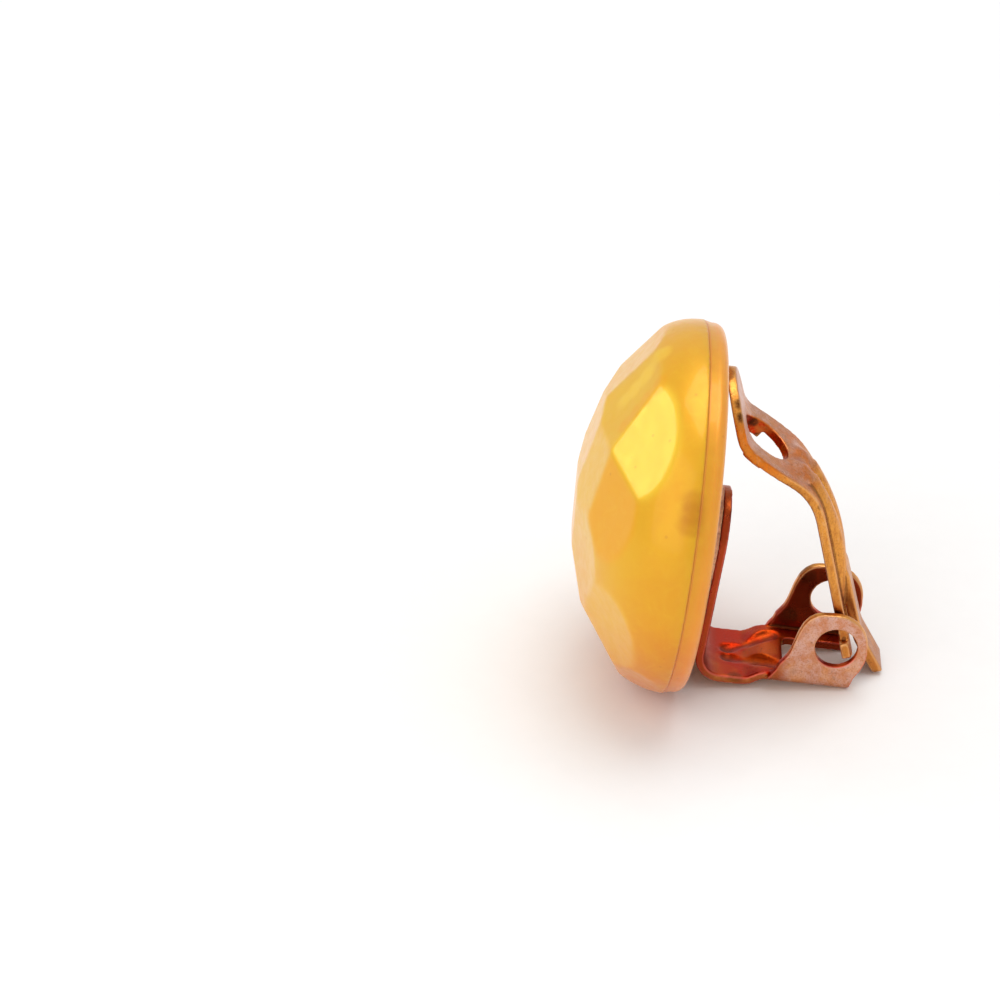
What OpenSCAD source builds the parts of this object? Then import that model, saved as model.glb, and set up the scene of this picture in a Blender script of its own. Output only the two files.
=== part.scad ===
// Clip-on earring: a hammered plastic dome closed by a thin disc, with a stamped two-piece clip.
// The pieces are drawn in the disc's own frame: X runs along the hinge, Y points back from the
// rear face of the disc, Z runs up the disc. stand() then leans them back onto their resting points.

/* [Dome] */
// Diameter of the dome
dome_d = 20; // [19.6:0.1:21]
// Depth of the domed front, without the rim band
dome_depth = 5.72; // [5:0.02:7]
// Width of the straight rim band
band_w = 0.24; // [0.1:0.02:0.4]
// Depth of the hammer marks, as a share of the deep ones seen here
mark_share = 1; // [0.4:0.05:1.1]

/* [Back plate] */
// Diameter of the disc
plate_d = 19.76; // [19:0.02:19.8]
// Thickness of the disc at its edge
plate_t = 1.04; // [0.9:0.02:1.2]
// Radius of the disc's rear edge
plate_edge_r = 0.55; // [0.2:0.05:0.6]
// Diameter of the shallow crown on the disc's rear face
crown_d = 17; // [14:0.5:17.5]
// Height of the shallow crown
crown_h = 0.6; // [0.3:0.05:0.65]

/* [Bracket] */
// Thickness of the bracket's sheet
bracket_t = 0.45; // [0.4:0.01:0.5]
// Distance of the pad's top from the disc's edge plane
pad_stand = 0.98; // [0.95:0.01:1.05]
// Lean of the pad towards the disc, in degrees
pad_lean = 2; // [1:0.1:2.4]
// Half of the width of the pad and the arm
pad_half_w = 2.52; // [2.3:0.02:2.6]
// Height of the pad's round top above the disc's centre
pad_top = 1.2; // [0.6:0.1:1.6]
// Distance between the outer faces of the two ears
ears_w = 5.62; // [5.6:0.02:5.8]
// Distance of the hinge axis behind the disc's edge plane
hinge_y = 8.0; // [7.95:0.01:8.05]
// Height of the hinge axis from the disc's centre
hinge_z = -6.08; // [-6.12:0.01:-6.04]
// Diameter of the hinge holes
hole_d = 2.28; // [2.26:0.02:2.4]
// Height of the ears' lower edge
foot_z = -8.64; // [-8.7:0.01:-8.5]
// Depth of the two grooves pressed into the arm
groove_depth = 0.2; // [0.1:0.01:0.25]

/* [Lever] */
// Thickness of the lever's sheet
lever_t = 0.52; // [0.45:0.01:0.54]
// Diameter of the round window
window_d = 3.1; // [2.4:0.1:3.3]
// Half of the width of the legs
leg_half_w = 2.18; // [2.1:0.01:2.2]
// How far a hinge lug stands out from its leg
lug_out = 0.48; // [0.36:0.02:0.52]
// Greatest height of the two ribs over the sheet
rib_h = 0.7; // [0.5:0.02:0.74]
// Width of the spring tongue
tongue_w = 2.3; // [1.8:0.1:2.5]

/* [Hidden] */
$fn = 96;

// Small gap between two pieces that lie on each other
gap = 0.02;
dome_r = dome_d / 2;
plate_r = plate_d / 2;
seam_y = -plate_t - gap;
widest_y = seam_y - band_w;
seam_chamfer = 0.07;
bracket_mid = bracket_t / 2;
ear_x = (ears_w - bracket_t) / 2;
ear_gap = ears_w - 2 * bracket_t;

// The earring rests on the dome's widest ring and on the ears' lower rear corners
foot_y = 9.03;
lean = atan((dome_r + foot_z) / (foot_y - widest_y));
stand_h = dome_r * cos(lean) + widest_y * sin(lean);

// Distance from the disc's edge plane back to the middle of the whole earring
middle_y = 1.37;

module stand() {
  translate([0, -middle_y, stand_h]) rotate([-lean, 0, 0]) children();
}

// A shape drawn in the side view (Y across, Z up), made width wide along X
module side_extrude(width) {
  rotate([90, 0, 90]) linear_extrude(height = width, center = true) children();
}

// A shape drawn in the rear view (X across, Z up), standing from one Y to another
module rear_extrude(near, far) {
  translate([0, far, 0]) rotate([90, 0, 0]) linear_extrude(height = far - near) children();
}

// Centre line of a bent sheet as [point, heading] pairs. Each row is [straight run, bend, radius]
bend_steps = 8;
function bent_line(rows, p, dir, k = 0) =
  k == len(rows) ? [] :
  let (run = rows[k][0], bend = rows[k][1], side = sign(bend) * rows[k][2])
  let (q = p + run * [cos(dir), sin(dir)])
  let (centre = q + side * [-sin(dir), cos(dir)])
  let (arc = bend == 0 ? [] : [for (i = [1:bend_steps]) let (a = dir + bend * i / bend_steps)
    [centre + side * [sin(a), -cos(a)], a]])
  let (last = bend == 0 ? q : arc[bend_steps - 1][0])
  concat(k == 0 ? [[p, dir]] : [], [[q, dir]], arc, bent_line(rows, last, dir + bend, k + 1));

// Points to one side of a centre line
function beside(line, d) = [for (s = line) s[0] + d * [-sin(s[1]), cos(s[1])]];

function reversed(list) = [for (i = [len(list) - 1:-1:0]) list[i]];

// Side view of a bent sheet
module bent_sheet(line, t) {
  polygon(concat(beside(line, t / 2), reversed(beside(line, -t / 2))));
}

// Hammer marks on the dome: [x, z, depth] of each one's middle
marks = [
  [1.45, 7.25, 0.40], [5.2, 6.8, 0.44], [6.0, 3.0, 0.27], [2.35, 3.2, 0.22], [3.6, -1.8, 0.27],
  [6.5, -4.5, 0.38], [-2.75, 7.3, 0.42], [-1.2, 3.2, 0.26], [-0.6, -0.9, 0.22],
  [-4.9, 3.6, 0.26], [-4.2, -0.8, 0.25], [0.5, -4.6, 0.24], [-3.4, -4.9, 0.27], [3.0, -7.1, 0.36],
  [-7.6, 1.6, 0.34], [-7.4, -3.2, 0.34], [-6.4, 6.2, 0.42], [-0.5, -8.3, 0.36], [-4.2, -8.0, 0.32],
  [-7.0, -6.3, 0.30], [5.8, -7.8, 0.26]
];

// Quarter of an ellipse, from the rim to the middle of the front
dome_steps = 24;
front_arc = [for (i = [0:dome_steps]) let (a = 90 * i / dome_steps)
  [dome_r * cos(a), dome_depth * sin(a)]];

module dome() {
  profile = concat([[0, -band_w], [dome_r - seam_chamfer, -band_w]], front_arc);
  color("goldenrod") stand() difference() {
    translate([0, widest_y, 0]) rotate([90, 0, 0]) rotate_extrude() polygon(profile);
    for (m = marks) hammer_mark(m[0], m[1], m[2] * mark_share);
  }
}

// A flat hammer mark, square to the domed front at (x, z)
module hammer_mark(x, z, depth) {
  y = dome_depth * sqrt(1 - (x * x + z * z) / (dome_r * dome_r));
  out = [x / (dome_r * dome_r), -y / (dome_depth * dome_depth), z / (dome_r * dome_r)];
  translate([x, widest_y - y, z])
    rotate([0, atan2(norm([out[0], out[1]]), out[2]), atan2(out[1], out[0])])
      translate([0, 0, dome_r / 2 - depth]) cube(dome_r, center = true);
}

// Height of the crown at a distance from the disc's centre
crown_steps = 10;
crown_r = ((crown_d / 2) * (crown_d / 2) + crown_h * crown_h) / (2 * crown_h);
function crown_at(r) = sqrt(crown_r * crown_r - r * r) - crown_r + crown_h;
crown_arc = [for (i = [0:crown_steps]) let (r = crown_d / 2 * i / crown_steps) [r, crown_at(r)]];

module back_plate() {
  edge_steps = 8;
  core_r = plate_r - plate_edge_r;
  edge = [for (i = [0:edge_steps]) let (a = 90 - 90 * i / edge_steps)
    [core_r + plate_edge_r * cos(a), plate_edge_r * (sin(a) - 1)]];
  color("orange") stand() rotate([-90, 0, 0]) rotate_extrude()
    polygon(concat([[0, -plate_t]], crown_arc, edge, [[plate_r, -plate_t]]));
}

// Wavy outline of the cement squeezed out around the pad
glue_steps = 60;
glue_drop = 3.7;
function glue_spread(a) = 0.22 + 0.10 * sin(5 * a + 40) + 0.07 * sin(9 * a) + 0.04 * sin(13 * a + 70);
function glue_point(a) =
  let (r = pad_half_w + glue_spread(a))
  [r * cos(a), pad_top - pad_half_w - (sin(a) < 0 ? glue_drop : 0) + r * sin(a)];

module glue() {
  over_crown = [for (c = crown_arc) c + [0, gap]];
  hollow = concat([[0, -plate_t]], over_crown, [[plate_r, gap], [plate_r, -plate_t]]);
  color("sandybrown") stand() difference() {
    rear_extrude(-gap, pad_stand + 1)
      polygon([for (i = [0:glue_steps - 1]) glue_point(360 * (i + 0.5) / glue_steps)]);
    rotate([-90, 0, 0]) rotate_extrude() polygon(hollow);
    translate([0, pad_stand - gap, pad_top]) rotate([-pad_lean, 0, 0])
      translate([-dome_r, 0, -3 * dome_r / 2]) cube(2 * dome_r);
  }
}

// Centre line of the bracket's sheet: down the pad, round the bend, along the arm, up to the floor
arm_z = -8.9;
arm_end_y = 5.4;
ears_front_y = 4.4;
ears_far_y = 10;
arm_bend_r = 1.2;
arm_low_run = 1.18;
arm_rise = 32;
arm_rise_r = 1;
arm_rise_run = 0.38;
arm_high_run = 3.9;
pad_run = (pad_top - arm_z - arm_bend_r * (1 + sin(pad_lean))) / cos(pad_lean);
arm_line = bent_line(
  [[pad_run, 90 + pad_lean, arm_bend_r], [arm_low_run, arm_rise, arm_rise_r],
    [arm_rise_run, -arm_rise, arm_rise_r], [arm_high_run, 0, 0]],
  [pad_stand + bracket_mid, pad_top], -90 - pad_lean);
floor_top = foot_z + bracket_t;

// Side view of an ear, its front foot first
ear_top_r = 1.85;
ear_outline = [
  [4.5, foot_z], [4.7, -8.25], [5.03, -7.72], [5.13, -7.38], [5.3, -7.15], [5.47, -6.9], [5.62, -6.5],
  [5.74, -5.95], [5.87, -5.4], [6.07, -4.85], [6.34, -4.48], [6.65, -4.24], [7.0, -4.12], [7.82, -4.09],
  [9.66, -5.9], [9.7, -6.3], [9.66, -6.8], [9.5, -7.3], [9.19, -7.84], [9.07, -8.3], [foot_y, foot_z]
];

// Rear view of the channel that makes the floor and the two ears
fold_r = 0.5;
module channel() {
  inner_r = fold_r - bracket_t;
  difference() {
    rounded_foot(ears_w / 2, foot_z, fold_r);
    rounded_foot(ear_gap / 2, floor_top, inner_r);
  }
}

// An upright block with rounded lower corners
module rounded_foot(half_w, low, r) {
  translate([-half_w, low + r]) square([2 * half_w, 8]);
  translate([-half_w + r, low]) square([2 * half_w - 2 * r, 2 * r]);
  for (side = [-1, 1]) translate([side * (half_w - r), low + r]) circle(r);
}

module clip_bracket() {
  color("darkgoldenrod") stand() difference() {
    union() {
      intersection() {
        side_extrude(ears_w) bent_sheet(arm_line, bracket_t);
        rear_extrude(0, arm_end_y) {
          translate([0, pad_top - pad_half_w]) circle(pad_half_w);
          translate([-pad_half_w, -dome_r]) square([2 * pad_half_w, dome_r + pad_top - pad_half_w]);
        }
      }
      intersection() {
        rear_extrude(ears_front_y, ears_far_y) channel();
        side_extrude(ears_w) union() {
          polygon(ear_outline);
          translate([7.82, -5.94]) circle(ear_top_r);
        }
      }
    }
    for (side = [-1, 1]) arm_groove(side);
    floor_slot();
    translate([0, hinge_y, hinge_z]) rotate([0, 90, 0]) cylinder(h = ears_w + 1, d = hole_d, center = true);
  }
}

// One of the two grooves that fan out along the arm, pressed by a round-ended bar
groove_r = 0.7;
groove_steps = 8;
groove_end = [for (i = [0:groove_steps]) let (a = 90 * i / groove_steps) groove_r * [cos(a), sin(a)]];
module arm_groove(side) {
  above = arm_z + bracket_mid + groove_r - groove_depth;
  near = [side * 0.45, 2.6, above];
  far = [side * 1.5, 5.0, above + 0.55];
  run = far - near;
  far_end = [for (p = groove_end) p + [0, norm(run)]];
  bar = concat(far_end, reversed([for (p = groove_end) [p[0], -p[1]]]));
  translate(near) rotate([0, acos(run[2] / norm(run)), atan2(run[1], run[0])]) rotate_extrude() polygon(bar);
}

// Slot in the floor that the tongue swings through
slot_side_gap = 0.2;
slot_w = tongue_w + 2 * slot_side_gap;
slot_front = 5.5;
slot_corner_r = 0.45;
module floor_slot() {
  corner_x = slot_w / 2 - slot_corner_r;
  corner_y = slot_front + slot_corner_r;
  for (side = [-1, 1]) translate([side * corner_x, corner_y, foot_z])
    cylinder(h = 2, r = slot_corner_r, center = true);
  translate([-corner_x, slot_front, foot_z - 1]) cube([2 * corner_x, 1, 2]);
  translate([-slot_w / 2, corner_y, foot_z - 1]) cube([slot_w, 5, 2]);
}

// Centre line of the lever's sheet: down the paddle, the slanted neck and the legs
paddle_start = [0.325, 8.34];
paddle_dir = -71;
neck_dir = -31.5;
leg_dir = -71.6;
lever_line = bent_line(
  [[2.61, neck_dir - paddle_dir, 1.86], [2.59, leg_dir - neck_dir, 4.64], [8.35, 0, 0]],
  paddle_start, paddle_dir);
window_drop = 0.72;
window_at = lever_line[1 + bend_steps][0] + window_drop * [cos(neck_dir), sin(neck_dir)];
leg_top = lever_line[2 + 2 * bend_steps][0];

// Stands a shape on the neck, at the window's middle, with Z pointing out of the sheet
module at_window() {
  translate([0, window_at[0], window_at[1]]) rotate([neck_dir, 0, 0]) children();
}

// Turned-in lip along both sides of the window
lip_t = 0.3;
lip_h = 0.46;
lip_span = [-0.9, 0.25];
module window_lip() {
  at_window() intersection() {
    translate([0, 0, -lever_t / 2 - lip_h]) difference() {
      cylinder(h = lip_h + lever_t / 4, d = window_d + 2 * lip_t);
      cylinder(h = 2, d = window_d, center = true);
    }
    translate([-window_d, lip_span[0], -2]) cube([2 * window_d, lip_span[1] - lip_span[0], 2]);
  }
}

// Rear view of the lever: [height, half width] down to the legs' ends
tip_r = 2.65;
tip_z = 5.76;
legs_end_z = -7;
lever_widths = [
  [tip_z, tip_r], [5.2, 2.72], [4.6, 2.82], [4.1, 2.82], [3.7, 2.74], [3.3, 2.58], [2.8, 2.38],
  [2.3, 2.24], [1.8, leg_half_w], [legs_end_z, leg_half_w]
];

module lever_outline() {
  translate([0, tip_z]) circle(tip_r);
  polygon(concat([for (w = lever_widths) [w[1], w[0]]], reversed([for (w = lever_widths) [-w[1], w[0]]])));
}

// Side view of everything behind the sheet's middle
module behind_sheet() {
  polygon(concat([for (s = lever_line) s[0]], [[14, -8], [14, 9]]));
}

// Two ribs, each the part of a slim ring that stands out of the sheet, with a round upper end
rib_x = 0.78;
rib_r = 0.75;
ring_r = 11.6 + rib_h;
ring_at = [-4.0, -4.45];
rib_top = 42;
rib_sector = concat([[0, 0], [20, -3]], [for (a = [rib_top / 2, rib_top]) 20 * [cos(a), sin(a)]]);
module ribs() {
  bead_r = ring_r - rib_r;
  end_step = 0.03;
  for (side = [-1, 1]) translate([side * rib_x, ring_at[0], ring_at[1]]) {
    intersection() {
      rotate([0, 90, 0]) rotate_extrude() translate([bead_r, 0]) circle(rib_r);
      side_extrude(2 * rib_r + 1) polygon(rib_sector);
    }
    translate([0, bead_r * cos(rib_top), bead_r * sin(rib_top)]) rotate([rib_top, 0, 0])
      sphere(rib_r - end_step);
  }
}

// Spring tongue, raised out of the sheet and bent away at its free end
tongue_t = 0.56;
tongue_corner_r = 0.4;
tongue_rows = [[0, 23, 1.6], [0.9, -22, 1.6], [3.35, 15, 2.5], [2.12, 0, 0]];
tongue_drop = 2.2;
tongue_root = leg_top + tongue_drop * [cos(leg_dir), sin(leg_dir)];
tongue_line = bent_line(tongue_rows, tongue_root, leg_dir);
tongue_tip = tongue_line[len(tongue_line) - 1][0];

module tongue() {
  low = tongue_tip[1] - tongue_t / 4;
  side_w = tongue_w / 2 - tongue_corner_r;
  intersection() {
    side_extrude(tongue_w) bent_sheet(tongue_line, tongue_t);
    rear_extrude(5, 13) {
      translate([-tongue_w / 2, low + tongue_corner_r]) square([tongue_w, 10]);
      translate([-side_w, low]) square([2 * side_w, 1]);
      for (side = [-1, 1]) translate([side * side_w, low + tongue_corner_r]) circle(tongue_corner_r);
    }
  }
}

// Width of the lever's sheet before it is cut to its outline
blank_w = 8;

// Opening that the tongue was cut from, between the two legs
opening_w = tongue_w + 2 * slot_side_gap;
opening_top = -4.3;
lug_h = 0.94;
lug_offset = [0.53, -0.2];

module clip_lever() {
  color("peru") stand() union() {
    difference() {
      intersection() {
        union() {
          side_extrude(blank_w) bent_sheet(lever_line, lever_t);
          intersection() {
            ribs();
            side_extrude(blank_w) behind_sheet();
          }
        }
        rear_extrude(-1, 12) lever_outline();
      }
      at_window() cylinder(h = 4, d = window_d, center = true);
      translate([-opening_w / 2, 5, opening_top - 8]) cube([opening_w, 5, 8]);
    }
    window_lip();
    tongue();
    translate([0, hinge_y + lug_offset[0], hinge_z + lug_offset[1]]) rotate([leg_dir + 90, 0, 0])
      lugs();
  }
}

// The two lugs, as seen along the leg
module lugs() {
  inside = opening_w / 2 + 0.1;
  reach = leg_half_w + lug_out;
  for (side = [-1, 1]) translate([side * (inside + reach) / 2, 0, 0])
    cube([reach - inside, lever_t, lug_h], center = true);
}

dome();
back_plate();
glue();
clip_bracket();
clip_lever();
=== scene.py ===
"""A clip-on earring: its plastic button, the cement behind it and its stamped metal clip."""

from math import atan, cos, radians, sin, sqrt

import bmesh
import bpy
from bpy.props import FloatProperty, FloatVectorProperty, PointerProperty
from mathutils import Matrix, Vector


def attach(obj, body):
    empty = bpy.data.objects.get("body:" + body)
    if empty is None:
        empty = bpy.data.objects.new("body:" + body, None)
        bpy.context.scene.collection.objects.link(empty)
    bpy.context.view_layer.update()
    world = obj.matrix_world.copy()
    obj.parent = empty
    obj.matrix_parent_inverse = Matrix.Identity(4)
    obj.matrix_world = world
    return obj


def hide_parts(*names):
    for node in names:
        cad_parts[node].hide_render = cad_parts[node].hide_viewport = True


bl_info = {
    "name": "Clip-on Earring",
    "version": (1, 0, 0),
    "blender": (4, 5, 0),
    "location": "3D View > Sidebar > Earring",
    "description": "Builds a hammered button earring with its hinged clip, and a stage for it",
    "category": "Object",
}

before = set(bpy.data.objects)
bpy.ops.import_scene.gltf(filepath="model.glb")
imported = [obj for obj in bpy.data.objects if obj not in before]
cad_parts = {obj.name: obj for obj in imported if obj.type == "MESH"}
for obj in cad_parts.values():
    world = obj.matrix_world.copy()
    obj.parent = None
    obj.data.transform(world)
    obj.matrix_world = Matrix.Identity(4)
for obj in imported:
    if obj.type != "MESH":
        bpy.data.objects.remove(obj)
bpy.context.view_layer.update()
MM = 0.001

# The disc's own frame, in millimetres: X along the hinge, Y back from the disc's rear edge, Z up the disc.
# The earring stands on the dome's widest ring and on its foot, the ears' lower corners, so it leans back.
DOME_R = 10.0
SEAM_Y = -1.06
WIDEST_Y = -1.3
FOOT = (9.03, -8.64)
MIDDLE_Y = 1.37
LEAN = atan((DOME_R + FOOT[1]) / (FOOT[0] - WIDEST_Y))
STAND_Z = DOME_R * cos(LEAN) + WIDEST_Y * sin(LEAN)
STAND = Matrix.Translation((0, -MIDDLE_Y, STAND_Z)) @ Matrix.Rotation(-LEAN, 4, "X")

# Hammer marks on the dome, in the disc's own frame: x and z of each one's middle, its depth, and its tone
# from deep honey (-1) to pearl (1). The tones are partly pearly mottling and partly painted light: the
# pearl of the bright facet at (5.2, 6.8) is a painted highlight, the honey of the facet at (6.0, 3.0) a
# painted dark reflection
MARKS = (
    (1.45, 7.25, 0.40, 0.15), (5.2, 6.8, 0.44, 0.9), (6.0, 3.0, 0.27, -0.7), (2.35, 3.2, 0.22, 0.1),
    (3.6, -1.8, 0.27, 0.1), (6.5, -4.5, 0.38, 0.25), (-2.75, 7.3, 0.42, -0.2), (-1.2, 3.2, 0.26, -0.1),
    (-0.6, -0.9, 0.22, 0.1), (-4.9, 3.6, 0.26, 0.45), (-4.2, -0.8, 0.25, -0.35), (0.5, -4.6, 0.24, 0.15),
    (-3.4, -4.9, 0.27, 0.5), (3.0, -7.1, 0.36, -0.1), (-7.6, 1.6, 0.34, 0.75), (-7.4, -3.2, 0.34, -0.4),
    (-6.4, 6.2, 0.42, 0.65), (-0.5, -8.3, 0.36, -0.15), (-4.2, -8.0, 0.32, 0.0), (-7.0, -6.3, 0.30, 0.2),
    (5.8, -7.8, 0.26, -0.2),
)

# Pale streak on the upper facet, a painted reflection of a lamp, the darker band under it and the dark cloud
# near the rim, each a row of spots in the disc's own frame: place, size and strength
PAINTED_LAMP_STREAK = (
    ((1.05, -5.5, 6.7), 0.7, 0.8), ((1.0, -5.0, 7.5), 0.75, 0.85), ((0.95, -4.45, 8.3), 0.75, 0.85),
    ((0.4, -3.6, 9.1), 0.7, 0.6))
DARK_BAND = (
    ((2.95, -5.35, 6.3), 0.6, 0.5), ((2.9, -4.9, 7.1), 0.6, 0.55), ((2.8, -4.3, 7.9), 0.6, 0.5),
    ((2.7, -3.6, 8.7), 0.6, 0.5))
DARK_CLOUD = (((8.55, -1.5, 5.3), 0.7, 0.5), ((8.75, -1.5, 4.7), 0.7, 0.55), ((8.95, -1.5, 4.1), 0.7, 0.5))

# How near to a mark's plane a point of the dome counts as on it, in millimetres, and how often the tones
# are blurred
TONE_REACH = 0.05
TONE_PASSES = 9

# The dome's fineness: steps of its arc, segments round it, passes that round its facets, and its broken edge
DOME_STEPS = 72
DOME_SEGMENTS = 288
DOME_PASSES = 10
DOME_BREAK = 0.02

# The disc's fineness, and the lip at its front edge, in millimetres: how far it stands out, where its slope
# starts and ends behind the seam, and how far the disc reaches past the seam
DISC_SEGMENTS = 256
CROWN_STEPS = 24
EDGE_STEPS = 12
LIP_OUT = 0.08
LIP_START = 0.4
LIP_END = 0.03
SEAM_LAP = 0.01

# Size of the cement's cells, in millimetres, and distances under which vertices merge
CEMENT_VOXEL = 0.1
SPIN_MERGE = 1e-5
CAD_MERGE = 1e-4

# Smoothing passes that soften the clip and the cement, that blur the relief, and that melt the ribs' ends
SOFT_PASSES = 4
RELIEF_PASSES = 2
RIB_END_PASSES = 220

# How far the disc's plastic leans towards amber, and how far the lever's wear lies from the bracket's, in
# millimetres of the same pattern
DISC_WARMTH = 0.2
LEVER_SHIFT = 40

# Where the lever's ribs run out into its sheet, and how far around it is smoothed, in millimetres
RIB_END = (0.78, 3.75, 13.15)
RIB_END_R = 1.4

# Dark stains on the metal, in the part's frame: place, size and strength
BRACKET_STAINS = (
    ((2.5, 0.4, 0.9), 0.5, 0.6), ((0.9, 3.6, 1.1), 0.7, 0.5), ((-2.4, 3.4, 1.6), 0.7, 0.8),
    ((-2.4, 4.4, 4.2), 0.6, 0.7), ((1.9, 3.1, 0.7), 0.5, 0.5), ((2.5, 3.5, 1.3), 0.35, 0.5))
LEVER_STAINS = (
    ((2.05, 0.42, 17.3), 0.32, 0.95), ((2.35, 0.55, 16.65), 0.32, 0.95), ((1.8, 0.35, 17.6), 0.2, 0.6),
    ((2.2, 4.74, 11.1), 0.2, 0.6), ((2.2, 5.5, 4.5), 0.5, 0.85), ((-1.5, 1.3, 14.2), 0.28, 0.9),
    ((-1.5, 1.5, 13.25), 0.3, 0.9), ((2.3, 3.4, 12.6), 0.2, 0.4))

# The window's middle and its axis in the part's frame, and the radius outside which its edge is left alone
WINDOW_MIDDLE = (0, 1.77, 13.89)
WINDOW_AXIS = (0, 0.629, 0.777)
WINDOW_EDGE_R = 1.62

# Where the disc's centre stands in the picture, right of and above its middle, in millimetres
ASIDE = 10.79
ABOVE = -0.44

# The camera's sensor, in millimetres, and its near limit, in metres
SENSOR = 36
CLIP_START = 0.01

# The lamps: name, place, size and power, in metres and watts. All point at the same target.
LAMP_TARGET = (0, 0, 0.01)
LAMPS = (
    ("key", (0.24, -0.17, 0.18), (0.36, 0.36), 0.36),
    ("strip", (-0.09, -0.26, 0.12), (0.09, 0.05), 0.055),
    ("top", (-0.05, 0.05, 0.35), (0.25, 0.25), 0.5))

# Strength of the white sky, and half the floor's width, in metres
SKY_LIGHT = 0.7
FLOOR_HALF = 1.5


class ButtonSettings(bpy.types.PropertyGroup):
    """Sizes and colours of the plastic button"""

    depth: FloatProperty(name="Depth", description="Depth of the domed front, in millimetres", default=5.72)
    edge_voxel: FloatProperty(
        name="Edge fineness", description="Size of the mesh's cells, in millimetres", default=0.11)
    gold: FloatVectorProperty(
        name="Gold", description="Colour of the pearly plastic at its heart", subtype="COLOR",
        size=4, min=0, max=1, default=(0.79, 0.44, 0.012, 1))
    amber: FloatVectorProperty(
        name="Amber", description="Colour of the plastic low down and at its edge", subtype="COLOR",
        size=4, min=0, max=1, default=(0.7, 0.19, 0.01, 1))
    # Pearl also colours the painted highlight on the bright facet and the painted lamp streak
    pearl: FloatVectorProperty(
        name="Pearl", description="Colour of its light facets", subtype="COLOR",
        size=4, min=0, max=1, default=(0.87, 0.55, 0.03, 1))
    # Honey also colours the painted dark reflection on the amber facet
    honey: FloatVectorProperty(
        name="Honey", description="Colour of its deep facets", subtype="COLOR",
        size=4, min=0, max=1, default=(0.82, 0.35, 0.0, 1))
    umber: FloatVectorProperty(
        name="Umber", description="Colour of the dark cloud at its rim", subtype="COLOR",
        size=4, min=0, max=1, default=(0.55, 0.2, 0.004, 1))
    # Peach is painted rim light on the disc's edge
    peach: FloatVectorProperty(
        name="Peach", description="Colour of the disc's edge", subtype="COLOR",
        size=4, min=0, max=1, default=(0.9, 0.32, 0.07, 1))
    rust: FloatVectorProperty(
        name="Rust", description="Colour of the line where the dome and the disc meet", subtype="COLOR",
        size=4, min=0, max=1, default=(0.7, 0.16, 0.035, 1))
    plate_d: FloatProperty(
        name="Disc diameter", description="Diameter of the disc, in millimetres", default=19.76)
    plate_edge: FloatProperty(
        name="Disc edge", description="Radius of its rear edge, in millimetres", default=0.55)
    crown_d: FloatProperty(
        name="Crown diameter", description="Diameter of its crown, in millimetres", default=17)
    crown_h: FloatProperty(
        name="Crown height", description="Height of its crown, in millimetres", default=0.6)


class ClipSettings(bpy.types.PropertyGroup):
    """Finish of the metal clip"""

    edge_voxel: FloatProperty(
        name="Edge fineness", description="Size of the mesh's cells, in millimetres", default=0.065)
    gilt: FloatVectorProperty(
        name="Gilt", description="Colour of the bright golden cut edges", subtype="COLOR",
        size=4, min=0, max=1, default=(0.78, 0.33, 0.06, 1))
    copper: FloatVectorProperty(
        name="Copper", description="Colour of the pinkish outer faces", subtype="COLOR",
        size=4, min=0, max=1, default=(0.6, 0.26, 0.15, 1))
    amber: FloatVectorProperty(
        name="Amber", description="Colour of the paddle's orange edges", subtype="COLOR",
        size=4, min=0, max=1, default=(0.72, 0.18, 0.014, 1))
    rust: FloatVectorProperty(
        name="Rust", description="Colour of the fine brown speckle", subtype="COLOR",
        size=4, min=0, max=1, default=(0.47, 0.15, 0.035, 1))
    bronze: FloatVectorProperty(
        name="Bronze", description="Colour of the bracket's front edges", subtype="COLOR",
        size=4, min=0, max=1, default=(0.42, 0.1, 0.035, 1))
    # Flame is painted reflection of the dome on the arm's top, and also colours the window's inner edges on
    # the neck
    flame: FloatVectorProperty(
        name="Flame", description="Colour of the orange-red arm", subtype="COLOR",
        size=4, min=0, max=1, default=(0.52, 0.022, 0.002, 1))
    # Ember is painted reflection and shade on the inner faces, and also colours the pad
    ember: FloatVectorProperty(
        name="Ember", description="Colour of the deep red inner faces", subtype="COLOR",
        size=4, min=0, max=1, default=(0.36, 0.04, 0.01, 1))
    blush: FloatVectorProperty(
        name="Blush", description="Colour of the pink bloom on the outer faces", subtype="COLOR",
        size=4, min=0, max=1, default=(0.67, 0.39, 0.31, 1))
    # Rose is painted pink highlight on the arm's and the pad's edges
    rose: FloatVectorProperty(
        name="Rose", description="Colour of the arm's burnished edges", subtype="COLOR",
        size=4, min=0, max=1, default=(0.68, 0.14, 0.1, 1))
    # Shine is painted highlight on the rounded edges, and colours bright streaks in the grain
    shine: FloatVectorProperty(
        name="Shine", description="Colour of the burnished edges", subtype="COLOR",
        size=4, min=0, max=1, default=(0.8, 0.42, 0.17, 1))
    # Stain also darkens the inner faces as painted shade
    stain_and_shade: FloatVectorProperty(
        name="Stain", description="Colour of the dark brown tarnish", subtype="COLOR",
        size=4, min=0, max=1, default=(0.1, 0.03, 0.01, 1))


class StageSettings(bpy.types.PropertyGroup):
    """Camera, lamps and floor"""

    azimuth: FloatProperty(
        name="Azimuth", description="Camera's turn about Z", subtype="ANGLE", default=radians(89.66))
    elevation: FloatProperty(
        name="Elevation", description="Camera's height angle", subtype="ANGLE", default=radians(30))
    distance: FloatProperty(
        name="Distance", description="From the disc's centre", unit="LENGTH", default=0.4)
    lens: FloatProperty(
        name="Lens", description="Focal length in millimetres", unit="CAMERA", default=270.6)


def settings():
    """The scene's three groups of settings."""
    scene = bpy.context.scene
    return scene.earring_button, scene.earring_clip, scene.earring_stage


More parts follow.
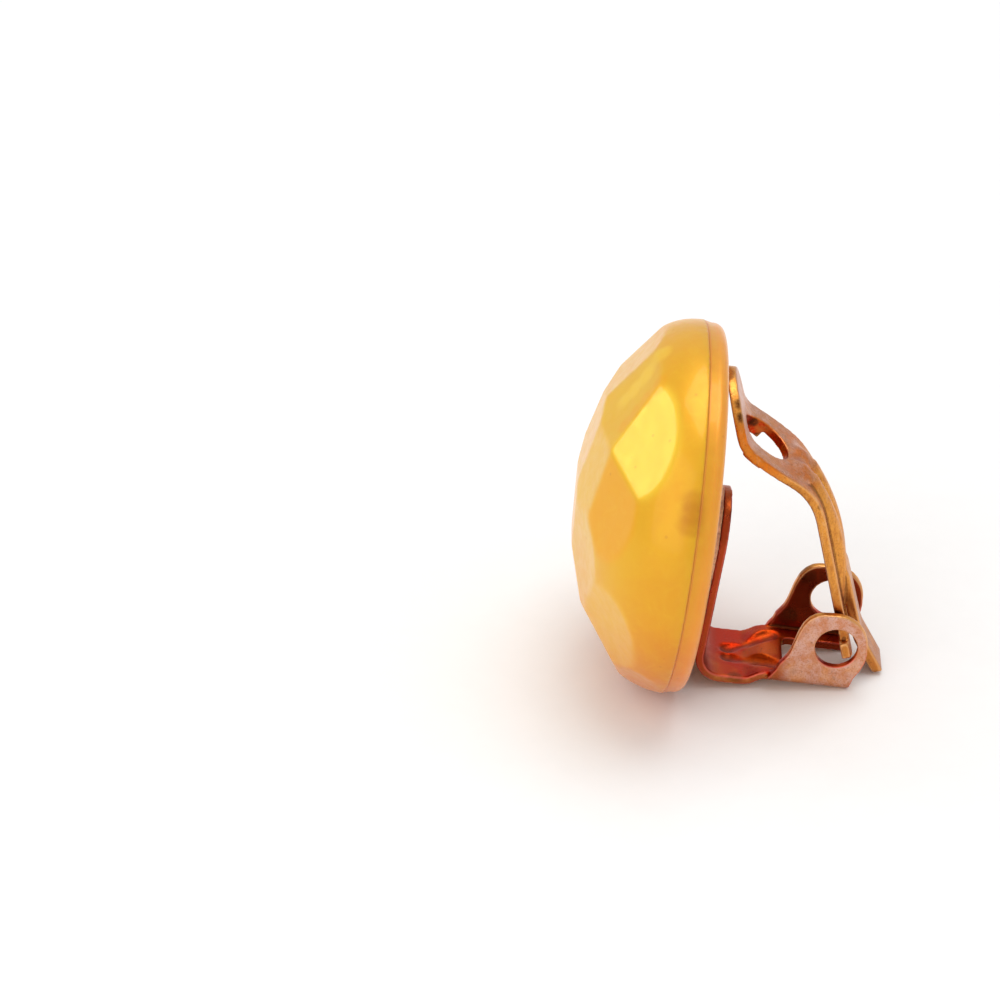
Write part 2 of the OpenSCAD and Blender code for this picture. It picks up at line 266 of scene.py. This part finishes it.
class Shader:
    """Puts nodes into a new material, one call for each."""

    def __init__(self, name):
        self.material = bpy.data.materials.new(name)
        self.material.use_nodes = True
        self.tree = self.material.node_tree
        self.tree.nodes.clear()

    def node(self, kind, inputs=(), **values):
        """Adds a node. inputs are (socket, value or output socket) pairs, values are its properties."""
        made = self.tree.nodes.new("ShaderNode" + kind)
        for key, value in values.items():
            setattr(made, key, value)
        for key, value in inputs:
            if isinstance(value, bpy.types.NodeSocket):
                self.tree.links.new(value, made.inputs[key])
            else:
                made.inputs[key].default_value = value
        return made

    def mix(self, factor, a, b):
        """Mixes two colours."""
        return self.node("Mix", [(0, factor), (6, a), (7, b)], data_type="RGBA").outputs[2]

    def math(self, operation, a, b=0.0, clamp=False):
        """One sum."""
        return self.node("Math", [(0, a), (1, b)], operation=operation, use_clamp=clamp).outputs[0]

    def ramp(self, factor, low, high, bottom=0.0, top=1.0):
        """Runs smoothly from bottom to top while factor goes from low to high."""
        made = self.node(
            "MapRange",
            [("Value", factor), ("From Min", low), ("From Max", high), ("To Min", bottom), ("To Max", top)],
            interpolation_type="SMOOTHSTEP")
        return made.outputs["Result"]

    def noise(self, vector, scale, detail=3.0, roughness=0.5, distortion=0.0):
        """Cloudy noise, from 0 to 1. scale is in cells a millimetre."""
        made = self.node(
            "TexNoise",
            [("Vector", vector), ("Scale", scale / MM), ("Detail", detail), ("Roughness", roughness),
             ("Distortion", distortion)])
        return made.outputs["Fac"]

    def warped(self, vector, scale, amount):
        """Shifts a vector about by noise. amount is in millimetres."""
        cloud = self.node("TexNoise", [("Vector", vector), ("Scale", scale / MM), ("Detail", 3.0)])
        shift = self.node(
            "VectorMath", [(0, cloud.outputs["Color"]), (1, (0.5, 0.5, 0.5))], operation="SUBTRACT")
        made = self.node(
            "VectorMath", [(0, shift.outputs[0]), (1, (amount * MM,) * 3), (2, vector)],
            operation="MULTIPLY_ADD")
        return made.outputs[0]

    def near(self, vector, point, size, strength):
        """From strength at a point to 0 beyond size. point and size are in millimetres."""
        away = self.node("VectorMath", [(0, vector), (1, tuple(Vector(point) * MM))], operation="DISTANCE")
        return self.ramp(away.outputs["Value"], size * 1.25 * MM, size * 0.55 * MM, 0.0, strength)

    def relief(self):
        """How far the surface stands out, in millimetres, as mark_relief wrote it."""
        return self.node("Attribute", attribute_name="relief").outputs["Fac"]

    def cells(self, vector, scale):
        """Distance to the nearest of scattered points."""
        made = self.node("TexVoronoi", [("Vector", vector), ("Scale", scale / MM)])
        return made.outputs["Distance"]

    def finish(self, shader):
        """Joins the last shader to the output and returns the material."""
        self.node("OutputMaterial", [("Surface", shader.outputs[0])])
        return self.material


def local_coordinates(shader):
    """Coordinates in the disc's own frame, in metres, from the object's."""
    place = shader.node("TexCoord").outputs["Object"]
    moved = shader.node(
        "Mapping", [("Vector", place), ("Location", (0, MIDDLE_Y * MM, -STAND_Z * MM))], vector_type="POINT")
    back = shader.node(
        "Mapping", [("Vector", moved.outputs[0]), ("Rotation", (LEAN, 0, 0))], vector_type="POINT")
    return back.outputs[0]


def pearly_plastic(name, warmth):
    """Cast pearly plastic with a polished skin. warmth moves it from gold towards amber."""
    button = settings()[0]
    s = Shader(name)
    place = local_coordinates(s)
    wavy = s.warped(place, 0.35, 0.8)
    x, y, z = s.node("SeparateXYZ", [("Vector", place)]).outputs
    radius = s.math("SQRT", s.math("ADD", s.math("MULTIPLY", x, x), s.math("MULTIPLY", z, z)))
    # From gold to amber, more of it towards the rim and low down, in slow swirls
    rim = s.ramp(radius, 7.5 * MM, 10.2 * MM)
    low = s.ramp(z, 3 * MM, -10 * MM)
    swirl = s.noise(place, 0.22, 4, 0.55, 1.2)
    amount = s.math("ADD", s.math("MULTIPLY", low, 0.7), s.math("MULTIPLY", rim, 0.25))
    amount = s.math("ADD", amount, s.math("MULTIPLY", s.math("SUBTRACT", swirl, 0.5), 0.5))
    amount = s.math("ADD", amount, warmth, clamp=True)
    colour = s.mix(amount, button.gold, button.amber)
    # The facets' tones, partly pearly mottling and partly painted highlight and painted dark reflection,
    # then the clouds and faint streaks
    tone = s.node("Attribute", attribute_name="tone").outputs["Fac"]
    colour = s.mix(s.math("MAXIMUM", tone, 0.0), colour, button.pearl)
    colour = s.mix(s.math("MAXIMUM", s.math("MULTIPLY", tone, -1.0), 0.0), colour, button.honey)
    # The pale streak is a painted reflection of a lamp on the upper facet
    for spots, tint in ((PAINTED_LAMP_STREAK, button.pearl), (DARK_BAND, button.honey), (DARK_CLOUD, button.umber)):
        for middle, size, strength in spots:
            colour = s.mix(s.near(wavy, middle, size, strength), colour, tint)
    streak = s.ramp(s.noise(place, 0.9, 5, 0.6, 2.0), 0.45, 0.75)
    colour = s.mix(s.math("MULTIPLY", streak, 0.12), colour, button.pearl)
    # A peach rim light painted round the disc's edge behind the seam, and the seam itself
    outer = s.ramp(radius, 8.6 * MM, 9.6 * MM)
    behind = s.math("MULTIPLY", s.ramp(y, SEAM_Y * MM, -0.1 * MM, 0.08, 0.42), outer)
    behind = s.math("MULTIPLY", behind, s.math("GREATER_THAN", y, SEAM_Y * MM))
    colour = s.mix(behind, colour, button.peach)
    from_seam = s.math("ABSOLUTE", s.math("SUBTRACT", y, SEAM_Y * MM))
    seam = s.ramp(from_seam, 0.13 * MM, 0.05 * MM, 0.0, 0.4)
    colour = s.mix(seam, colour, button.rust)
    # Rare dark specks, slow ripples and fine pores
    speck = s.ramp(s.cells(place, 0.7), 0.09, 0.03)
    colour = s.mix(s.math("MULTIPLY", speck, 0.25), colour, (0.5, 0.14, 0.02, 1))
    ripple = s.noise(place, 0.35, 2, 0.4)
    pores = s.noise(place, 6.0, 3, 0.6)
    height = s.math("ADD", ripple, s.math("MULTIPLY", pores, 0.02))
    bump = s.node("Bump", [("Strength", 0.3), ("Distance", 0.15 * MM), ("Height", height)])
    rough = s.ramp(s.noise(place, 1.6, 4, 0.6), 0.3, 0.7, 0.3, 0.42)
    surface = s.node(
        "BsdfPrincipled",
        [("Base Color", colour), ("Metallic", 0.3), ("Roughness", rough), ("IOR", 1.3),
         ("Subsurface Weight", 0.35), ("Subsurface Radius", (1.0, 0.4, 0.08)),
         ("Subsurface Scale", 1.2 * MM),
         ("Sheen Weight", 0.3), ("Sheen Roughness", 0.22), ("Sheen Tint", (1, 0.5, 0.36, 1)),
         ("Coat Weight", 0.4), ("Coat IOR", 1.4), ("Coat Roughness", 0.07), ("Normal", bump.outputs[0])])
    return s.finish(surface)


def worn_metal(name, paint, shift):
    """Worn gilt sheet with pits, fine grain, dark tarnish and painted shade, and painted highlights on its
    rounded edges. paint gives its colour, the colour of its painted edge highlights, and its tarnish with
    painted shade.
    shift moves the pattern along, in millimetres."""
    clip = settings()[1]
    s = Shader(name)
    coord = s.node("TexCoord")
    place = s.node(
        "Mapping", [("Vector", coord.outputs["Object"]), ("Location", (shift * MM, 0, 0))]).outputs[0]
    cloud = s.noise(place, 0.9, 5, 0.6, 0.4)
    fine = s.noise(place, 10.0, 5, 0.7)
    grain_place = s.node("Mapping", [("Vector", place), ("Scale", (1, 1, 0.25))]).outputs[0]
    streaks = s.noise(grain_place, 4.0, 5, 0.7)
    relief = s.relief()

    def speckled(colour, streaky):
        """Lays gilt clouds, brown streaks, bright streaks that are partly grain and partly painted
        highlight, and fine brown speckle over a colour.
        """
        colour = s.mix(s.ramp(cloud, 0.45, 0.7, 0.0, 0.4), colour, clip.gilt)
        colour = s.mix(s.math("MULTIPLY", s.ramp(streaks, 0.46, 0.66), streaky), colour, clip.rust)
        colour = s.mix(s.math("MULTIPLY", s.ramp(streaks, 0.46, 0.32), streaky), colour, clip.shine)
        return s.mix(s.ramp(fine, 0.48, 0.64, 0.0, 0.55), colour, clip.rust)

    colour, shine, tarnish_and_shade = paint(s, coord, speckled)
    # Tarnish in spots, added to the paint's tarnish and painted shade, and darker in the hollows, all broken
    # up by the fine grain, then pits and painted highlights on the rounded edges
    spots = s.ramp(s.noise(place, 2.2, 6, 0.7, 0.6), 0.6, 0.72)
    tarnish_and_shade = s.math("ADD", tarnish_and_shade, s.math("MULTIPLY", spots, 0.5))
    tarnish_and_shade = s.math("ADD", tarnish_and_shade, s.ramp(relief, -0.0002, -0.002, 0.0, 0.6))
    tarnish_and_shade = s.math("MULTIPLY", tarnish_and_shade, s.ramp(fine, 0.25, 0.5, 0.4, 1.0), clamp=True)
    colour = s.mix(tarnish_and_shade, colour, clip.stain_and_shade)
    pits = s.ramp(s.cells(place, 3.2), 0.22, 0.05)
    colour = s.mix(s.math("MULTIPLY", pits, 0.3), colour, clip.stain_and_shade)
    # Painted highlight on the rounded edges, where the surface stands out
    colour = s.mix(s.ramp(relief, 0.0025, 0.0055, 0.0, 0.6), colour, shine)
    height = s.math("ADD", s.noise(grain_place, 10.0, 3, 0.6), s.math("MULTIPLY", fine, 0.8))
    height = s.math("SUBTRACT", height, s.math("MULTIPLY", pits, 0.4))
    bump = s.node("Bump", [("Strength", 0.6), ("Distance", 0.018 * MM), ("Height", height)])
    surface = s.node(
        "BsdfPrincipled",
        [("Base Color", colour), ("Metallic", 1.0), ("Roughness", s.ramp(cloud, 0.3, 0.7, 0.26, 0.42)),
         ("Normal", bump.outputs[0])])
    return s.finish(surface)


def bracket_paint(s, coord, speckled):
    """Pinkish outer faces, golden edges, inner faces painted deep red and darker as reflection and shade,
    and an arm painted orange-red as a reflection of the dome.
    """
    clip = settings()[1]
    place = s.warped(coord.outputs["Object"], 1.2, 0.3)
    x, y, z = s.node("SeparateXYZ", [("Vector", place)]).outputs
    nx, _, nz = s.node("SeparateXYZ", [("Vector", coord.outputs["Normal"])]).outputs
    # Where a face looks sideways, and where it looks in towards the other ear, which gets painted shade
    side = s.ramp(s.math("ABSOLUTE", nx), 0.45, 0.75)
    inner_shade = s.ramp(s.math("MULTIPLY", nx, s.math("SIGN", x)), 0.0, -0.3)
    ears = s.ramp(y, 2.6 * MM, 3.4 * MM)
    low = s.ramp(z, 3.2 * MM, 1.8 * MM)
    bloom = s.ramp(s.noise(place, 1.7, 5, 0.7), 0.4, 0.6)
    faces = s.mix(ears, clip.bronze, s.mix(bloom, clip.copper, clip.blush))
    colour = speckled(s.mix(side, clip.gilt, faces), 0.12)
    # The arm's up-facing top is painted orange-red as a reflection of the dome, the pad is deep red, and the
    # inner faces are painted deep red as reflection and shade
    up = s.math("MULTIPLY", s.ramp(nz, 0.2, 0.7), low)
    glow = s.ramp(s.noise(place, 0.6, 3, 0.5), 0.42, 0.68, 0.0, 0.45)
    colour = s.mix(up, colour, s.mix(glow, clip.flame, clip.amber))
    pad = s.math("MULTIPLY", s.ramp(y, 2.2 * MM, 1.4 * MM), s.ramp(z, 0.6 * MM, 1.6 * MM))
    colour = s.mix(s.math("MULTIPLY", pad, 0.85), colour, clip.ember)
    # Painted reflection and shade: the inner faces deep red, and darker
    colour = s.mix(s.math("MULTIPLY", side, inner_shade), colour, clip.ember)
    tarnish_and_shade = s.math("MULTIPLY", s.math("MULTIPLY", side, inner_shade), 0.35)
    for point, size, strength in BRACKET_STAINS:
        tarnish_and_shade = s.math("MAXIMUM", tarnish_and_shade, s.near(place, point, size, strength))
    # The edges' painted highlight is shine, and rose on the arm and the pad
    return colour, s.mix(s.math("MAXIMUM", low, pad), clip.shine, clip.rose), tarnish_and_shade


def lever_paint(s, coord, speckled):
    """Pinkish outer face, golden edges that turn orange at the paddle, and an inner face painted deep red
    and darker as reflection and shade.
    """
    clip = settings()[1]
    place = s.warped(coord.outputs["Object"], 1.2, 0.3)
    x, _, z = s.node("SeparateXYZ", [("Vector", place)]).outputs
    _, ny, nz = s.node("SeparateXYZ", [("Vector", coord.outputs["Normal"])]).outputs
    # How far a face looks along the sheet's own normal, which leans further over on the neck
    neck = s.math("MULTIPLY", s.ramp(z, 11 * MM, 12.6 * MM), s.ramp(z, 15.6 * MM, 14.4 * MM))
    back = s.math("MULTIPLY", ny, s.math("SUBTRACT", 0.98, s.math("MULTIPLY", neck, 0.35)))
    above = s.math("MULTIPLY", nz, s.math("ADD", 0.2, s.math("MULTIPLY", neck, 0.58)))
    side = s.ramp(s.math("ABSOLUTE", s.math("ADD", back, above)), 0.8, 0.45)
    # The orange stretch of edge beside the window, the lowest stretch and the ribbed part
    high = s.math("MULTIPLY", s.ramp(z, 12.6 * MM, 14 * MM), s.ramp(z, 17 * MM, 15.6 * MM))
    tail = s.ramp(z, 7 * MM, 4.5 * MM)
    ribs = s.ramp(z, 12.6 * MM, 11.4 * MM)
    bloom = s.ramp(s.noise(place, 3.0, 5, 0.7), 0.35, 0.65)
    orange = s.ramp(s.noise(place, 1.3, 4, 0.6), 0.42, 0.6, 0.25, 0.8)
    orange = s.math("MULTIPLY", s.ramp(z, 14.6 * MM, 12.9 * MM), orange)
    outer = s.mix(orange, s.mix(bloom, clip.copper, clip.blush), clip.amber)
    outer = s.mix(ribs, outer, s.mix(tail, clip.gilt, clip.rust))
    # The inner face is painted deep red as reflection and shade
    faces = s.mix(s.ramp(ny, 0.1, -0.2), outer, clip.ember)
    edges = s.mix(high, s.mix(s.math("MULTIPLY", tail, 0.7), clip.gilt, clip.rust), clip.amber)
    inside = s.math("MULTIPLY", s.ramp(s.math("ABSOLUTE", x), 1.85 * MM, 1.6 * MM), neck)
    edges = s.mix(inside, edges, clip.flame)
    colour = speckled(s.mix(side, faces, edges), s.math("ADD", 0.3, s.math("MULTIPLY", ribs, 0.35)))
    # Painted shade: darker on the inner face
    tarnish_and_shade = s.math("MULTIPLY", s.ramp(ny, 0.1, -0.2), 0.2)
    for point, size, strength in LEVER_STAINS:
        tarnish_and_shade = s.math("MAXIMUM", tarnish_and_shade, s.near(place, point, size, strength))
    # The edges' painted highlight is shine, and amber beside the window
    return colour, s.mix(high, clip.shine, clip.amber), tarnish_and_shade


def dried_cement(name):
    """Dried cement: peach, with darker tan patches."""
    s = Shader(name)
    place = s.node("TexCoord").outputs["Object"]
    lumps = s.noise(place, 3.0, 5, 0.6)
    cloud = s.noise(place, 1.4, 5, 0.6, 0.8)
    colour = s.mix(s.ramp(cloud, 0.35, 0.65), (0.35, 0.12, 0.05, 1), (0.82, 0.42, 0.22, 1))
    bump = s.node("Bump", [("Strength", 0.6), ("Distance", 0.05 * MM), ("Height", lumps)])
    surface = s.node(
        "BsdfPrincipled",
        [("Base Color", colour), ("Roughness", s.ramp(cloud, 0.3, 0.7, 0.3, 0.5)),
         ("Subsurface Weight", 0.3), ("Subsurface Radius", (1.0, 0.4, 0.2)), ("Subsurface Scale", 0.4 * MM),
         ("Coat Weight", 0.3), ("Coat Roughness", 0.2), ("Normal", bump.outputs[0])])
    return s.finish(surface)


def pale_floor(name):
    """Smooth, pale studio paper."""
    s = Shader(name)
    place = s.node("TexCoord").outputs["Object"]
    fibre = s.noise(place, 0.6, 4, 0.6)
    colour = s.mix(fibre, (0.9, 0.895, 0.89, 1), (0.93, 0.925, 0.92, 1))
    return s.finish(s.node("BsdfPrincipled", [("Base Color", colour), ("Roughness", 0.6)]))


def add_object(name, mesh, material, body="", replaces=""):
    """Links a mesh as an object at the origin, and tells the frame what it is."""
    made = bpy.data.objects.new(name, mesh)
    bpy.context.scene.collection.objects.link(made)
    mesh.materials.clear()
    mesh.materials.append(material)
    if body:
        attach(made, body)
        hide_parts(replaces)
    return made


def mesh_from(bm, name):
    """Makes a mesh of a bmesh, with smooth shading."""
    bmesh.ops.recalc_face_normals(bm, faces=bm.faces)
    for face in bm.faces:
        face.smooth = True
    mesh = bpy.data.meshes.new(name)
    bm.to_mesh(mesh)
    bm.free()
    return mesh


def remeshed(bm, name, voxel):
    """Evens out a closed bmesh in millimetres into small square cells, and returns it as a new bmesh."""
    source = bpy.data.objects.new(name + "_source", mesh_from(bm, name + "_source"))
    bpy.context.scene.collection.objects.link(source)
    cells = source.modifiers.new("Cells", "REMESH")
    cells.mode = "VOXEL"
    cells.voxel_size = voxel
    graph = bpy.context.evaluated_depsgraph_get()
    even = bmesh.new()
    even.from_mesh(source.evaluated_get(graph).to_mesh())
    bpy.data.objects.remove(source)
    return even


def softened(bm, passes, chosen=None):
    """Rounds the edges of a bmesh of even cells, or only its chosen vertices."""
    for _ in range(passes):
        bmesh.ops.smooth_vert(
            bm, verts=chosen or bm.verts, factor=0.5, use_axis_x=True, use_axis_y=True, use_axis_z=True)


def mark_relief(bm, passes):
    """Writes how far each vertex stands out of its neighbours as the attribute relief, for the metals."""
    layer = bm.verts.layers.float.new("relief")
    bm.normal_update()
    for v in bm.verts:
        ring = [edge.other_vert(v) for edge in v.link_edges]
        v[layer] = (v.co - sum((n.co for n in ring), Vector()) / len(ring)).dot(v.normal)
    even_out(bm, layer, passes)


def even_out(bm, layer, passes):
    """Blurs a vertex attribute, once for each pass."""
    near = [[edge.other_vert(v) for edge in v.link_edges] for v in bm.verts]
    for _ in range(passes):
        even = [(v[layer] + sum(n[layer] for n in ring)) / (1 + len(ring))
                for v, ring in zip(bm.verts, near)]
        for v, value in zip(bm.verts, even):
            v[layer] = value


def spun(profile, segments):
    """Spins a profile of (radius, height) points, in millimetres, about the disc's own Y axis."""
    bm = bmesh.new()
    verts = [bm.verts.new((r, h, 0)) for r, h in profile]
    edges = [bm.edges.new(pair) for pair in zip(verts, verts[1:])]
    bmesh.ops.spin(
        bm, geom=verts + edges, cent=(0, 0, 0), axis=(0, 1, 0), angle=radians(360), steps=segments,
        use_merge=True)
    bmesh.ops.remove_doubles(bm, verts=bm.verts, dist=SPIN_MERGE)
    return bm


def cad_copy(node):
    """A merged copy of a CAD node's mesh, as a bmesh in millimetres."""
    bm = bmesh.new()
    bm.from_mesh(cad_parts[node].data)
    bmesh.ops.scale(bm, vec=(1 / MM, 1 / MM, 1 / MM), verts=bm.verts)
    bmesh.ops.remove_doubles(bm, verts=bm.verts, dist=CAD_MERGE)
    return bm


def in_metres(bm, place=None):
    """Brings a bmesh from millimetres to metres, and to the part's frame if its place there is given."""
    if place:
        bmesh.ops.transform(bm, matrix=place, verts=bm.verts)
    bmesh.ops.scale(bm, vec=(MM, MM, MM), verts=bm.verts)


def mark_plane(x, z, depth, dome_depth):
    """A point on a hammer mark's plane, and the plane's outward direction, in the disc's own frame."""
    y = dome_depth * sqrt(1 - (x * x + z * z) / DOME_R ** 2)
    out = Vector((x / DOME_R ** 2, -y / dome_depth ** 2, z / DOME_R ** 2)).normalized()
    return Vector((x, WIDEST_Y - y, z)) - out * depth, out


def mark_tones(bm, dome_depth, passes):
    """Writes the tone of the hammer mark that each vertex lies on as the attribute tone, for the plastic.
    The tones are partly painted highlight and painted dark reflection.
    """
    layer = bm.verts.layers.float.new("tone")
    planes = [(*mark_plane(x, z, depth, dome_depth), tone) for x, z, depth, tone in MARKS]
    for v in bm.verts:
        if v.co.y < WIDEST_Y:
            away, tone = min((abs((v.co - point).dot(out)), tone) for point, out, tone in planes)
            v[layer] = tone if away < TONE_REACH else 0
    even_out(bm, layer, passes)


class EARRING_OT_dome(bpy.types.Operator):
    """Builds the hammered dome with softly rounded facets"""

    bl_idname = "earring.dome"
    bl_label = "Dome"

    def execute(self, context):
        button = context.scene.earring_button
        turns = [radians(90 * i / DOME_STEPS) for i in range(DOME_STEPS + 1)]
        arc = [(DOME_R * cos(a), WIDEST_Y - button.depth * sin(a)) for a in turns]
        back = [(0, SEAM_Y), (DOME_R - DOME_BREAK, SEAM_Y), (DOME_R, SEAM_Y - DOME_BREAK)]
        bm = spun(back + arc, DOME_SEGMENTS)
        for x, z, depth, _ in MARKS:
            point, out = mark_plane(x, z, depth, button.depth)
            cut = bmesh.ops.bisect_plane(
                bm, geom=bm.verts[:] + bm.edges[:] + bm.faces[:], plane_co=point, plane_no=out,
                clear_outer=True)
            rim = [e for e in cut["geom_cut"] if isinstance(e, bmesh.types.BMEdge)]
            bmesh.ops.holes_fill(bm, edges=rim)
        bm = remeshed(bm, "dome", button.edge_voxel)
        softened(bm, DOME_PASSES, [v for v in bm.verts if v.co.y < WIDEST_Y])
        mark_tones(bm, button.depth, TONE_PASSES)
        in_metres(bm, STAND)
        add_object(
            "dome_shell", mesh_from(bm, "dome_shell"), pearly_plastic("dome_resin", 0.0), "button",
            "dome")
        return {"FINISHED"}


class EARRING_OT_disc(bpy.types.Operator):
    """Builds the disc that closes the dome, with its rounded edge and shallow crown"""

    bl_idname = "earring.disc"
    bl_label = "Disc"

    def execute(self, context):
        button = context.scene.earring_button
        rim_r = button.plate_d / 2
        half = button.crown_d / 2
        ball = (half ** 2 + button.crown_h ** 2) / (2 * button.crown_h)
        radii = [half * i / CROWN_STEPS for i in range(CROWN_STEPS + 1)]
        crown = [(r, sqrt(ball ** 2 - r ** 2) - ball + button.crown_h) for r in radii]
        turns = [radians(90 - 90 * i / EDGE_STEPS) for i in range(EDGE_STEPS + 1)]
        edge = [(rim_r - button.plate_edge * (1 - cos(a)), button.plate_edge * (sin(a) - 1)) for a in turns]
        lip_r = rim_r + LIP_OUT
        lip = [(rim_r, SEAM_Y + LIP_START), (lip_r, SEAM_Y + LIP_END), (lip_r, SEAM_Y - SEAM_LAP)]
        bm = spun(crown + edge + lip + [(0, SEAM_Y - SEAM_LAP)], DISC_SEGMENTS)
        in_metres(bm, STAND)
        add_object(
            "back_disc", mesh_from(bm, "back_disc"), pearly_plastic("disc_resin", DISC_WARMTH), "button",
            "back_plate")
        return {"FINISHED"}


class EARRING_OT_cement(bpy.types.Operator):
    """Builds the lumpy film of cement around the clip's pad"""

    bl_idname = "earring.cement"
    bl_label = "Cement"

    def execute(self, context):
        bm = remeshed(cad_copy("glue"), "cement", CEMENT_VOXEL)
        softened(bm, SOFT_PASSES)
        in_metres(bm)
        add_object(
            "cement_film", mesh_from(bm, "cement_film"), dried_cement("cement"), "button", "glue")
        return {"FINISHED"}


class EARRING_OT_bracket(bpy.types.Operator):
    """Builds the clip's bracket with softly rounded edges and painted edge highlights"""

    bl_idname = "earring.bracket"
    bl_label = "Bracket"

    def execute(self, context):
        bm = remeshed(cad_copy("clip_bracket"), "bracket", context.scene.earring_clip.edge_voxel)
        softened(bm, SOFT_PASSES)
        mark_relief(bm, RELIEF_PASSES)
        in_metres(bm)
        add_object(
            "bracket_sheet", mesh_from(bm, "bracket_sheet"), worn_metal("bracket_gilt", bracket_paint, 0),
            "button", "clip_bracket")
        return {"FINISHED"}


class EARRING_OT_lever(bpy.types.Operator):
    """Builds the clip's lever with softly rounded edges and painted edge highlights"""

    bl_idname = "earring.lever"
    bl_label = "Lever"

    def execute(self, context):
        bm = remeshed(cad_copy("clip_lever"), "lever", context.scene.earring_clip.edge_voxel)
        softened(bm, SOFT_PASSES)
        # The ribs' ends melt into the sheet, and the window's sharp edge stays
        ends = [Vector((side * RIB_END[0], RIB_END[1], RIB_END[2])) for side in (-1, 1)]
        middle, axis = Vector(WINDOW_MIDDLE), Vector(WINDOW_AXIS)
        near_ends = [v for v in bm.verts if min((v.co - end).length for end in ends) < RIB_END_R
                     and (v.co - middle).cross(axis).length > WINDOW_EDGE_R]
        softened(bm, RIB_END_PASSES, near_ends)
        mark_relief(bm, RELIEF_PASSES)
        in_metres(bm)
        add_object(
            "lever_sheet", mesh_from(bm, "lever_sheet"), worn_metal("lever_gilt", lever_paint, LEVER_SHIFT),
            "lever", "clip_lever")
        return {"FINISHED"}


def area_lamp(name, place, size, power):
    """A soft white lamp that points at the earring."""
    lamp = bpy.data.lights.new(name, "AREA")
    lamp.shape = "RECTANGLE"
    lamp.size, lamp.size_y = size
    lamp.energy = power
    made = bpy.data.objects.new(name, lamp)
    made.location = place
    made.rotation_euler = (Vector(place) - Vector(LAMP_TARGET)).to_track_quat("Z", "Y").to_euler()
    bpy.context.scene.collection.objects.link(made)


class EARRING_OT_stage(bpy.types.Operator):
    """Sets up the camera, the pale floor and the soft lamps"""

    bl_idname = "earring.stage"
    bl_label = "Stage"

    def execute(self, context):
        stage = context.scene.earring_stage
        a, e = stage.azimuth, stage.elevation
        right = Vector((cos(a), sin(a), 0))
        back = Vector((sin(a) * cos(e), -cos(a) * cos(e), sin(e)))
        up = back.cross(right)
        centre = Vector((0, -MIDDLE_Y, STAND_Z)) * MM
        lens = bpy.data.cameras.new("camera")
        lens.sensor_width = SENSOR
        lens.lens = stage.lens
        lens.clip_start = CLIP_START
        camera = bpy.data.objects.new("camera", lens)
        turn = Matrix((right, up, back)).transposed().to_4x4()
        eye = centre - right * ASIDE * MM - up * ABOVE * MM + back * stage.distance
        camera.matrix_world = Matrix.Translation(eye) @ turn
        context.scene.collection.objects.link(camera)
        context.scene.camera = camera

        bm = bmesh.new()
        bmesh.ops.create_grid(bm, x_segments=8, y_segments=8, size=FLOOR_HALF)
        floor = add_object("floor", mesh_from(bm, "floor"), pale_floor("paper"))

        world = bpy.data.worlds.new("studio")
        world.use_nodes = True
        world.node_tree.nodes["Background"].inputs["Color"].default_value = (1, 1, 1, 1)
        world.node_tree.nodes["Background"].inputs["Strength"].default_value = SKY_LIGHT
        context.scene.world = world
        for lamp in LAMPS:
            area_lamp(*lamp)
        context.scene.view_settings.view_transform = "Standard"
        return {"FINISHED"}


class EARRING_PT_panel(bpy.types.Panel):
    """Lists the earring's pieces and their settings"""

    bl_idname = "EARRING_PT_panel"
    bl_label = "Clip-on Earring"
    bl_space_type = "VIEW_3D"
    bl_region_type = "UI"
    bl_category = "Earring"

    def draw(self, context):
        for group in settings():
            box = self.layout.box()
            for key in group.__annotations__:
                box.prop(group, key)
        for operator in OPERATORS:
            self.layout.operator(operator.bl_idname)


GROUPS = {
    "earring_button": ButtonSettings, "earring_clip": ClipSettings, "earring_stage": StageSettings}
OPERATORS = (
    EARRING_OT_stage, EARRING_OT_dome, EARRING_OT_disc, EARRING_OT_cement, EARRING_OT_bracket,
    EARRING_OT_lever)


def register():
    for cls in (*GROUPS.values(), *OPERATORS, EARRING_PT_panel):
        bpy.utils.register_class(cls)
    for name, group in GROUPS.items():
        setattr(bpy.types.Scene, name, PointerProperty(type=group))


def unregister():
    for name in GROUPS:
        delattr(bpy.types.Scene, name)
    for cls in (EARRING_PT_panel, *reversed(OPERATORS), *reversed(GROUPS.values())):
        bpy.utils.unregister_class(cls)


def main():
    """Builds the whole scene."""
    register()
    bpy.ops.earring.stage()
    bpy.ops.earring.dome()
    bpy.ops.earring.disc()
    bpy.ops.earring.cement()
    bpy.ops.earring.bracket()
    bpy.ops.earring.lever()


if __name__ == "__main__":
    main()
